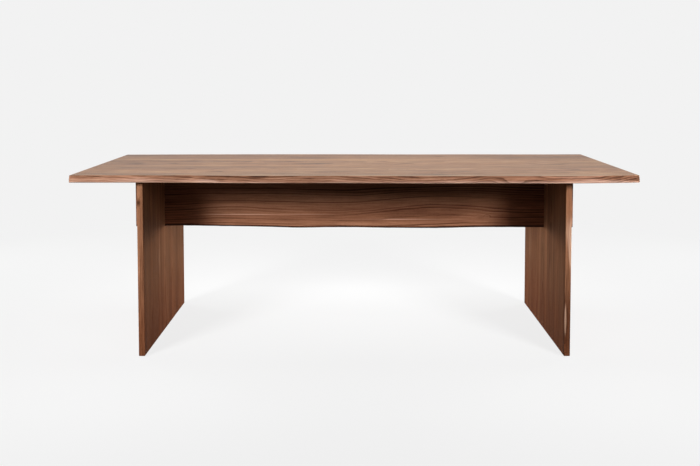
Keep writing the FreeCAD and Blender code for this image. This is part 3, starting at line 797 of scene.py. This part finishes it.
@dataclass(frozen=True)
class NaturalSide:
    """The side of a board that keeps the tree's own surface, ridged and hollowed as its rind leaves it.

    Axis and sign say where the side faces, and over is the frame axis that crosses it. The side reaches
    in by a belt, and is cut into cells of a step along it and a rise over it. Depth is how far its relief
    goes in, and belly how much further its two edges do.
    """

    node: str
    axis: int
    sign: float
    over: int
    seed: float
    belt: float = 0.040
    step: float = 0.006
    rise: float = 0.003
    depth: float = 0.0022
    belly: float = 0.0

    # Ridges, dents and fine grain: waves to the metre along and over the side, seed and share of depth
    RELIEF: ClassVar[tuple[tuple[float, float, float, float], ...]] = (
        (7.0, 130.0, 0.0, 0.45),
        (24.0, 40.0, 7.0, 0.35),
        (85.0, 240.0, 13.0, 0.15),
    )
    MEAN_SHARE: ClassVar[float] = 0.5
    FACING: ClassVar[float] = 0.05
    WELD: ClassVar[float] = 1e-6
    CUT_REACH: ClassVar[float] = 1e-5

    def build(self, name: str, slot: str) -> bpy.types.Object:
        """Make a copy of the board with the side worked, to stand for the board.

        Args:
            name: The new piece's name.
            slot: A material slot name; not used.

        Returns:
            The new piece, whose second finish is that of the worked side.
        """
        shape = bmesh.new()
        shape.from_mesh(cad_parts[self.node].data)
        bmesh.ops.remove_doubles(shape, verts=shape.verts, dist=self.WELD)
        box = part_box(self.node)
        faces = self._faces(shape, box)
        for axis, gap in ((X, self.step), (self.over, self.rise)):
            faces = self._cut(shape, faces, axis, gap, box)
        for face in faces:
            face.material_index = 1
        for vert in {vert for face in faces for vert in face.verts}:
            vert.co[self.axis] -= self.sign * self._hollow(vert.co, box)
        mesh = bpy.data.meshes.new(name)
        shape.to_mesh(mesh)
        shape.free()
        if "custom_normal" in mesh.attributes:
            mesh.attributes.remove(mesh.attributes["custom_normal"])
        piece = bpy.data.objects.new(name, mesh)
        bpy.context.scene.collection.objects.link(piece)
        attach(piece, BODY)
        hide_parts(self.node)
        LOG.info("%s built with %d faces", name, len(mesh.polygons))
        return piece

    def _faces(self, shape: bmesh.types.BMesh, box: Box) -> list[bmesh.types.BMFace]:
        """Find the natural side.

        Args:
            shape: The board's mesh.
            box: The board's box.

        Returns:
            Its faces, with those of its rounded edges.
        """
        outer = box[1 if self.sign > 0.0 else 0][self.axis]
        return [
            face for face in shape.faces
            if face.normal[self.axis] * self.sign > self.FACING
            and abs(face.calc_center_median()[self.axis] - outer) < self.belt
        ]

    def _cut(
        self,
        shape: bmesh.types.BMesh,
        faces: list[bmesh.types.BMFace],
        axis: int,
        gap: float,
        box: Box,
    ) -> list[bmesh.types.BMFace]:
        """Cut faces into even strips across an axis.

        Args:
            shape: The mesh that holds them.
            faces: The faces to cut.
            axis: The axis that the cuts stand on.
            gap: The width of a strip.
            box: The board's box.

        Returns:
            The cut faces.
        """
        across = Vector((0.0, 0.0, 0.0))
        across[axis] = 1.0
        count = int((box[1][axis] - box[0][axis]) / gap)
        done: list[bmesh.types.BMFace] = []
        for number in range(1, count):
            place = box[0][axis] + gap * number
            edges = {edge for face in faces for edge in face.edges}
            verts = {vert for face in faces for vert in face.verts}
            cut = bmesh.ops.bisect_plane(
                shape, geom=[*verts, *edges, *faces], dist=self.CUT_REACH,
                plane_co=across * place, plane_no=across,
            )
            parts = [item for item in cut["geom"] if isinstance(item, bmesh.types.BMFace)]
            faces = [face for face in parts if face.calc_center_median()[axis] > place]
            done += [face for face in parts if face.calc_center_median()[axis] <= place]
        return done + faces

    def _hollow(self, place: Vector, box: Box) -> float:
        """How far the side lies in at a place.

        Args:
            place: The place on the untouched side.
            box: The board's box.

        Returns:
            The depth of its relief and its belly there, in metres.
        """
        along, over = place.x, place[self.over]
        share = self.MEAN_SHARE
        for along_waves, over_waves, seed, part in self.RELIEF:
            waves = Vector((along * along_waves, over * over_waves, self.seed + seed))
            share += noise.noise(waves) * part
        middle = (box[0][self.over] + box[1][self.over]) / 2.0
        outward = (over - middle) / (box[1][self.over] - middle)
        return self.depth * min(max(share, 0.0), 1.0) + self.belly * outward * outward


@dataclass
class TableTop:
    """Six boards glued edge to edge, the outer two with the tree's own edge."""

    wood: Walnut = Walnut(
        seed=0.0, grain=Grain.LENGTHWISE, pith=(0.0, 0.6), ring_spread=0.50, bands=2.3, dapple=0.45,
        mottle=2.0, fleck=(8.0, 80.0, 80.0), specular=0.42, tint=(1.0, 1.06, 0.82), edge_tone=0.07,
    )
    names: tuple[str, ...] = (
        "top_board_1_front", "top_board_2", "top_board_3",
        "top_board_4", "top_board_5", "top_board_6_back",
    )
    side_tint: Colour = (1.0, 1.08, 1.16)
    upper: float = 0.750
    front: float = -0.50
    back: float = 0.50

    def finishes(self) -> tuple[Walnut, ...]:
        """The boards' own woods.

        Returns:
            A finish for each board, from the front to the back.
        """
        wood, up = self.wood, self.upper
        return (
            replace(wood, seed=1.0, pith=(-0.36, 0.60), spacing=0.0050, taper=0.010, tone=0.05, figures=(
                Figure(Mark.SAPWOOD, (0.0, -0.52, up), (4.0, 0.17, 0.04), 0.75),
                Figure(Mark.KNOT, (0.74, -0.34, up), (0.12, 0.045, 0.05), 0.24),
            )),
            replace(wood, seed=2.0, pith=(-0.22, 0.58), spacing=0.0042, taper=0.014, tone=0.02, figures=(
                Figure(Mark.KNOT, (-0.56, -0.235, up), (0.15, 0.035, 0.05), 0.28),
                Figure(Mark.KNOT, (0.20, -0.240, up), (0.09, 0.030, 0.05), 0.28),
                Figure(Mark.STREAK, (-0.55, -0.22, up), (0.50, 0.050, 0.05), 0.22),
                Figure(Mark.STREAK, (0.80, -0.25, up), (0.50, 0.120, 0.05), 0.30),
            )),
            replace(wood, seed=3.0, pith=(0.02, 0.48), spacing=0.0048, taper=0.016, tone=0.03, figures=(
                Figure(Mark.STREAK, (-0.42, 0.010, up), (0.90, 0.030, 0.05), 0.60),
                Figure(Mark.SAPWOOD, (0.80, -0.08, up), (0.50, 0.120, 0.05), 0.20),
            )),
            replace(wood, seed=4.0, pith=(0.10, 0.55), spacing=0.0040, taper=0.009, tone=0.02),
            replace(wood, seed=5.0, pith=(0.40, 0.60), taper=0.013, figures=(
                Figure(Mark.STREAK, (-0.55, 0.295, up), (0.75, 0.090, 0.05), 0.30),
                Figure(Mark.STREAK, (0.85, 0.26, up), (0.45, 0.120, 0.05), 0.55),
                Figure(Mark.STREAK, (-0.21, 0.29, up), (0.18, 0.100, 0.05), 0.40),
            )),
            replace(wood, seed=6.0, pith=(0.34, 0.57), spacing=0.0050, taper=0.011, tone=-0.02, figures=(
                Figure(Mark.STREAK, (0.80, 0.40, up), (0.40, 0.080, 0.05), 0.30),
            )),
        )

    def front_figures(self) -> tuple[Figure, ...]:
        """The marks of the front side, whose lower half is paler.

        Returns:
            Those of its whole length, then single ones.
        """
        edge = self.front
        return (
            Figure(Mark.SAPWOOD, (0.0, edge, 0.722), (4.0, 0.06, 0.017), 0.55),
            Figure(Mark.STREAK, (0.0, edge, 0.747), (4.0, 0.06, 0.014), 0.24),
            Figure(Mark.STREAK, (-0.90, edge, 0.740), (0.60, 0.05, 0.030), 0.58),
            Figure(Mark.STREAK, (-0.677, edge, 0.744), (0.040, 0.04, 0.010), 0.7),
            Figure(Mark.SAPWOOD, (-0.594, edge, 0.726), (0.070, 0.05, 0.014), 0.5),
            Figure(Mark.STREAK, (-0.390, edge, 0.744), (0.060, 0.04, 0.010), 0.7),
            Figure(Mark.SWELL, (0.63, edge, 0.712), (0.110, 0.05, 0.045), 0.22),
            Figure(Mark.STREAK, (0.90, edge, 0.748), (0.40, 0.05, 0.018), 0.25),
            Figure(Mark.SAPWOOD, (-0.95, edge, 0.735), (0.60, 0.06, 0.040), 0.45),
            Figure(Mark.SAPWOOD, (0.88, edge, 0.735), (0.50, 0.06, 0.040), 0.42),
        )

    def back_figures(self) -> tuple[Figure, ...]:
        """The marks of the back side.

        Returns:
            Those of its whole length, then a knot.
        """
        return (
            Figure(Mark.SAPWOOD, (0.0, self.back, 0.722), (4.0, 0.06, 0.017), 0.50),
            Figure(Mark.STREAK, (0.0, self.back, 0.747), (4.0, 0.06, 0.014), 0.25),
            Figure(Mark.KNOT, (0.42, self.back, 0.736), (0.060, 0.04, 0.020), 0.50),
        )

    def build(self) -> dict[str, bpy.types.Object]:
        """Work the natural sides of the front and the back board.

        Returns:
            The new pieces, by the nodes that they stand for.
        """
        sides = {
            "front_natural_board": NaturalSide(self.names[0], axis=Y, sign=-1.0, over=Z, seed=3.0),
            "back_natural_board": NaturalSide(self.names[-1], axis=Y, sign=1.0, over=Z, seed=11.0),
        }
        return {side.node: side.build(name, "top_wood") for name, side in sides.items()}

    def dress(self, worked: dict[str, bpy.types.Object]) -> None:
        """Give each board its own wood, and a duller one to the natural sides.

        Args:
            worked: The new pieces, by the nodes that they stand for.
        """
        panel = join_boxes(list(self.names))
        marks = {self.names[0]: self.front_figures(), self.names[-1]: self.back_figures()}
        for name, finish in zip(self.names, self.finishes()):
            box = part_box(name)
            face = finish.material(f"walnut_{name}", box, panel)
            if name in worked:
                side = replace(
                    finish, ring_spread=0.32, bands=1.0, dapple=0.40, mottle=0.8, fleck=(8.0, 60.0, 60.0),
                    gloss=0.66, specular=0.05, tint=self.side_tint, figures=marks[name],
                )
                wear(worked[name], face, side.material(f"walnut_{name}_side", box, panel))
            else:
                wear(name, face)


@dataclass
class LegPanel:
    """One panel leg of five upright boards."""

    side: str
    seed: float
    wood: Walnut = Walnut(
        seed=0.0, grain=Grain.UPRIGHT, pith=(0.0, 1.0), spacing=0.0044, bands=0.58, gloss=0.66,
        specular=0.03, tint=(1.0, 0.97, 0.82), edge_tone=0.03, edge_life=0.4,
        edge_tint=(0.97, 1.04, 1.18),
    )
    middle: float = 0.8685
    front: float = -0.44
    board_width: float = 0.176
    tones: tuple[float, ...] = (-0.05, -0.08, -0.03, -0.08, -0.06)
    seed_step: float = 10.0
    pith_shift: float = 0.05
    pith_step: float = 0.03
    pith_depth: float = 1.16

    def names(self) -> list[str]:
        """Its boards, from the front to the back."""
        endings = ("1_front", "2", "3_slotted", "4", "5_back")
        return [f"{self.side}_leg_board_{ending}" for ending in endings]

    def outward(self) -> float:
        """The sign of the leg's own side of the table."""
        return -1.0 if self.side == "left" else 1.0

    def finishes(self) -> list[Walnut]:
        """The boards' own woods.

        Returns:
            A finish for each board, from the front to the back.
        """
        made = []
        for number, tone in enumerate(self.tones):
            centre = self.front + self.board_width * (number + 0.5)
            across = centre + self.pith_shift - self.pith_step * number
            pith = (across, self.middle * self.outward() * self.pith_depth)
            seed = self.seed + number * self.seed_step
            figures = self.foot_figures() + self.own_figures().get(number, ())
            made.append(replace(self.wood, seed=seed, pith=pith, tone=tone, figures=figures))
        return made

    def foot_figures(self) -> tuple[Figure, ...]:
        """Darker and redder towards the floor.

        Returns:
            The marks that all its boards share.
        """
        foot = (0.0, 0.0, self.middle * self.outward())
        return (
            Figure(Mark.STREAK, foot, (0.36, 2.0, 0.2), 0.40),
            Figure(Mark.BLUSH, foot, (0.36, 2.0, 0.2), 0.90),
        )

    def own_figures(self) -> dict[int, tuple[Figure, ...]]:
        """The marks of single boards.

        Returns:
            Those of each board that has some, by its number from the front; the first board's show on its
            front edge.
        """
        if self.side == "left":
            return {
                0: (Figure(Mark.KNOT, (0.635, self.front, -0.876), (0.030, 0.030, 0.016), 1.1),),
                1: (Figure(Mark.SAPWOOD, (0.34, -0.148, -0.856), (0.20, 0.050, 0.03), 0.40),),
                3: (Figure(Mark.SAPWOOD, (0.42, 0.200, -0.856), (0.14, 0.050, 0.03), 0.34),),
            }
        return {
            0: (
                Figure(Mark.SAPWOOD, (0.455, self.front, 0.884), (0.15, 0.030, 0.019), 1.5),
                Figure(Mark.SAPWOOD, (0.51, self.front, 0.868), (0.17, 0.030, 0.040), 0.60),
                Figure(Mark.STREAK, (0.16, self.front, 0.868), (0.26, 0.030, 0.040), 0.65),
                Figure(Mark.SAPWOOD, (0.15, self.front, 0.860), (0.12, 0.020, 0.008), 1.0),
            ),
            1: (Figure(Mark.SAPWOOD, (0.45, -0.232, 0.856), (0.16, 0.040, 0.03), 0.34),),
            4: (Figure(Mark.SAPWOOD, (0.34, 0.297, 0.856), (0.20, 0.070, 0.03), 0.40),),
        }

    def dress(self) -> None:
        """Give each board its own wood."""
        names = self.names()
        panel = join_boxes(names)
        for name, finish in zip(names, self.finishes()):
            wear(name, finish.material(f"walnut_{name}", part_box(name), panel))


@dataclass
class Stretcher:
    """The tall board under the top, with its natural lower edge.

    The edge is read at a number of stations, each with a reach to both sides. A lap is where no wood
    comes down to the lap height above the lowest place.
    """

    name: str = "stretcher"
    stations: int = 41
    station_reach: float = 0.007
    lap_height: float = 0.060

    def finish(self, line: Line) -> Walnut:
        """Its wood, with an arched figure on its right half and pale lines along its lower edge.

        Args:
            line: The places of the natural lower edge, along and up.

        Returns:
            The finish.
        """
        return Walnut(
            seed=80.0, grain=Grain.ON_EDGE, pith=(0.92, 0.10), spacing=0.0110, taper=0.014,
            # The rim setting paints shade along the natural lower edge.
            ring_spread=0.15, tone=-0.05, bands=1.45, dapple=0.32, rim_shade=0.46, line=line, gloss=0.62,
            specular=0.06, figures=(
                Figure(Mark.SWELL, (0.37, 0.55, 0.0), (0.50, 0.100, 0.10), 0.75),
                Figure(Mark.STREAK, (0.22, 0.575, 0.0), (0.62, 0.14, 0.10), 0.52),
                Figure(Mark.KNOT, (0.565, 0.507, 0.0), (0.030, 0.018, 0.03), 0.50),
                Figure(Mark.KNOT, (0.600, 0.516, 0.0), (0.024, 0.012, 0.03), 0.40),
                Figure(Mark.SAPWOOD, (-0.40, 0.522, 0.0), (0.60, 0.006, 0.05), 0.85),
                Figure(Mark.SAPWOOD, (0.20, 0.500, 0.0), (0.50, 0.005, 0.05), 0.80),
                # painted shadow of the legs: both ends of the stretcher darker and redder
                Figure(Mark.STREAK, (-0.82, 0.53, 0.0), (0.22, 0.20, 0.10), 0.50),
                Figure(Mark.STREAK, (0.80, 0.53, 0.0), (0.22, 0.20, 0.10), 0.65),
                Figure(Mark.BLUSH, (-0.82, 0.50, 0.0), (0.24, 0.20, 0.10), 0.90),
                Figure(Mark.BLUSH, (0.82, 0.50, 0.0), (0.24, 0.20, 0.10), 0.90),
            ),
        )

    def build(self) -> bpy.types.Object:
        """Work its natural lower side."""
        side = NaturalSide(
            self.name, axis=Z, sign=-1.0, over=Y, seed=19.0, depth=0.0014, belly=0.0005
        )
        return side.build("natural_stretcher", "stretcher_wood")

    def edge_line(self, worked: bpy.types.Object) -> Line:
        """Read the natural lower edge.

        Args:
            worked: The piece that stands for the board.

        Returns:
            Its places along and up, without the laps of the legs.
        """
        places = [vert.co for vert in worked.data.vertices]
        (left, _, low), (right, _, _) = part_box(self.name)
        line = []
        for number in range(self.stations):
            along = left + (right - left) * number / (self.stations - 1)
            near = [place.z for place in places if abs(place.x - along) < self.station_reach]
            if min(near) < low + self.lap_height:
                line.append((along, min(near)))
        return tuple(line)

    def dress(self, worked: bpy.types.Object) -> None:
        """Give the board its wood.

        Args:
            worked: The piece that stands for it.
        """
        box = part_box(self.name)
        finish = self.finish(self.edge_line(worked)).material("walnut_stretcher", box, box)
        wear(worked, finish, finish)


@dataclass
class Joinery:
    """What holds the table together: tenons, angles, stiffeners, bolts and screws."""

    seams: int = 5

    def dress(self) -> None:
        """Give each piece its finish."""
        beech = Beech().material("beech_tenon")
        for number in range(1, self.seams + 1):
            wear(f"top_slip_tenons_{number}", beech)
        zinc_plate = BareMetal(colour=(0.60, 0.60, 0.585), dull=(0.42, 0.41, 0.38), rough=0.34)
        turned_brass = BareMetal(colour=(0.72, 0.52, 0.22), dull=(0.48, 0.32, 0.12), rough=0.30)
        zinc = zinc_plate.material("zinc_plate")
        brass = turned_brass.material("turned_brass")
        for side in ("left", "right"):
            wear(f"{side}_leg_slip_tenons", beech)
            wear(f"{side}_angle_screws", zinc)
            for name in (f"top_angle_{side}_front", f"top_angle_{side}_back", f"stiffener_{side}"):
                wear(name, PowderCoat().material(f"powder_coat_{name}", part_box(name)))
        for group in ("angle", "stiffener"):
            wear(f"{group}_bolts", zinc)
            wear(f"{group}_washers", zinc)
            wear(f"{group}_inserts", brass)
        wear("glide_nails", zinc)


@dataclass
class FloorGlides:
    """The four glides that the legs stand on."""

    def dress(self) -> None:
        """Give each glide its finish."""
        nylon = Nylon().material("brown_nylon")
        for side in ("left", "right"):
            for end in ("front", "back"):
                wear(f"glide_{side}_{end}", nylon)


@dataclass(frozen=True)
class SoftBox:
    """A flat soft lamp."""

    name: str
    place: Point
    aim: Point
    width: float
    height: float
    watts: float
    spread: float = 180.0
    is_mirrored: bool = True

    def build(self) -> None:
        """Hang the lamp and turn it to what it lights."""
        lamp = bpy.data.lights.new(self.name, "AREA")
        lamp.shape = "RECTANGLE"
        lamp.size = self.width
        lamp.size_y = self.height
        lamp.energy = self.watts
        lamp.spread = math.radians(self.spread)
        hung = bpy.data.objects.new(self.name, lamp)
        hung.location = self.place
        direction = Vector(self.aim) - Vector(self.place)
        hung.rotation_euler = direction.to_track_quat("-Z", "Y").to_euler()
        hung.visible_camera = False
        hung.visible_glossy = self.is_mirrored
        bpy.context.scene.collection.objects.link(hung)
        LOG.info("%s hung", self.name)


@dataclass
class Studio:
    """A plain pale floor under soft lamps, and the camera.

    Pale is what the background looks like, fill and floor fill what it gives as light. Near the table the
    floor is lifted, which makes up for the share of the shadow that it shows.
    """

    pale: Colour = (0.888, 0.888, 0.888)
    lifted: Colour = (0.962, 0.962, 0.962)
    fill: Colour = (0.02, 0.02, 0.02)
    floor_fill: Colour = (0.12, 0.12, 0.12)
    floor_half: float = 60.0
    floor_cells: int = 8
    shadow_share: float = 0.16
    shadow_reach: float = 3.4
    shadow_core: float = 0.3
    lens: float = 47.40
    camera_place: Point = (0.0, -4.145, 1.1565)
    pitch: float = 3.387
    shift: tuple[float, float] = (-0.0063, -0.1497)

    def build(self) -> None:
        """Set up the whole studio."""
        self.build_world()
        self.build_floor()
        for lamp in self.lamps():
            lamp.build()
        self.build_camera()

    def lamps(self) -> tuple[SoftBox, ...]:
        """One lamp above the table, one before each leg and a low one beyond each leg.

        Returns:
            The lamps to hang.
        """
        hung = [
            SoftBox("lamp_above", (0.0, 0.45, 3.0), (0.0, 0.45, 0.75), width=3.4, height=1.7, watts=52.0)
        ]
        for side, turn in (("left", -1.0), ("right", 1.0)):
            hung += [
                SoftBox(
                    f"lamp_{side}_front", (2.5 * turn, -3.6, 1.95), (0.68 * turn, 0.0, 0.50),
                    width=1.10, height=1.25, watts=14.0, spread=36.0, is_mirrored=False,
                ),
                SoftBox(
                    f"lamp_{side}_back", (3.4 * turn, 2.2, 0.40), (-0.4 * turn, 0.0, 0.40),
                    width=1.4, height=0.6, watts=110.0, is_mirrored=False,
                ),
            ]
        return tuple(hung)

    def seen(self, s: Shader) -> Term:
        """Tell rays that show the background itself from those that carry its light.

        Args:
            s: The tree that asks.

        Returns:
            A term that is 1 for the first and 0 for the others.
        """
        path = s.node("ShaderNodeLightPath").outputs
        shown = Term(s, path["Is Camera Ray"]) + Term(s, path["Is Glossy Ray"])
        return s.maths("MINIMUM", shown + Term(s, path["Is Transmission Ray"]), 1.0)

    def build_world(self) -> None:
        """Make the surroundings pale to look at and dim as a lamp."""
        world = bpy.data.worlds.new("studio")
        bpy.context.scene.world = world
        s = Shader(world)
        dim = s.node("ShaderNodeBackground", None, {"Color": self.fill})
        pale = s.node("ShaderNodeBackground", None, {"Color": self.pale})
        sides = {0: self.seen(s), 1: dim.outputs[0], 2: pale.outputs[0]}
        both = s.node("ShaderNodeMixShader", None, sides)
        s.node("ShaderNodeOutputWorld", None, {"Surface": both.outputs[0]})

    def build_floor(self) -> None:
        """Lay a floor that shows the table's shadow round it and meets the pale background."""
        mesh = bpy.data.meshes.new("floor")
        shape = bmesh.new()
        cells = self.floor_cells
        bmesh.ops.create_grid(shape, x_segments=cells, y_segments=cells, size=self.floor_half)
        shape.to_mesh(mesh)
        shape.free()
        floor = bpy.data.objects.new("floor", mesh)
        bpy.context.scene.collection.objects.link(floor)
        material = bpy.data.materials.new("pale_floor")
        s = Shader(material)
        reach = (self.shadow_reach, self.shadow_reach, 1.0)
        near = s.ease(s.distance(s.place(), (0.0, 0.0, 0.0), reach), 1.0, self.shadow_core)
        glow = s.node("ShaderNodeEmission", None, {"Color": s.mix(near, self.pale, self.lifted)})
        matte = s.node("ShaderNodeBsdfDiffuse", None, {"Color": self.pale})
        layers = {0: near * self.shadow_share, 1: glow.outputs[0], 2: matte.outputs[0]}
        shown = s.node("ShaderNodeMixShader", None, layers)
        dim = s.node("ShaderNodeBsdfDiffuse", None, {"Color": self.floor_fill})
        sides = {0: self.seen(s), 1: dim.outputs[0], 2: shown.outputs[0]}
        both = s.node("ShaderNodeMixShader", None, sides)
        s.node("ShaderNodeOutputMaterial", None, {"Surface": both.outputs[0]})
        mesh.materials.append(material)
        LOG.info("floor laid")

    def build_camera(self) -> None:
        """Stand the camera where the photograph was taken from."""
        data = bpy.data.cameras.new("camera")
        data.lens = self.lens
        data.shift_x, data.shift_y = self.shift
        camera = bpy.data.objects.new("camera", data)
        camera.location = self.camera_place
        camera.rotation_euler = (math.radians(90.0 - self.pitch), 0.0, 0.0)
        bpy.context.scene.collection.objects.link(camera)
        bpy.context.scene.camera = camera
        LOG.info("camera set")


def main() -> None:
    """Dress every piece of the table and set up the studio."""
    logging.basicConfig(level=logging.INFO, format="%(name)s: %(message)s")
    bpy.context.scene.view_settings.view_transform = "Standard"
    top = TableTop()
    top.dress(top.build())
    LegPanel("left", seed=20.0).dress()
    LegPanel("right", seed=27.0).dress()
    stretcher = Stretcher()
    stretcher.dress(stretcher.build())
    Joinery().dress()
    FloorGlides().dress()
    Studio().build()


if __name__ == "__main__":
    main()
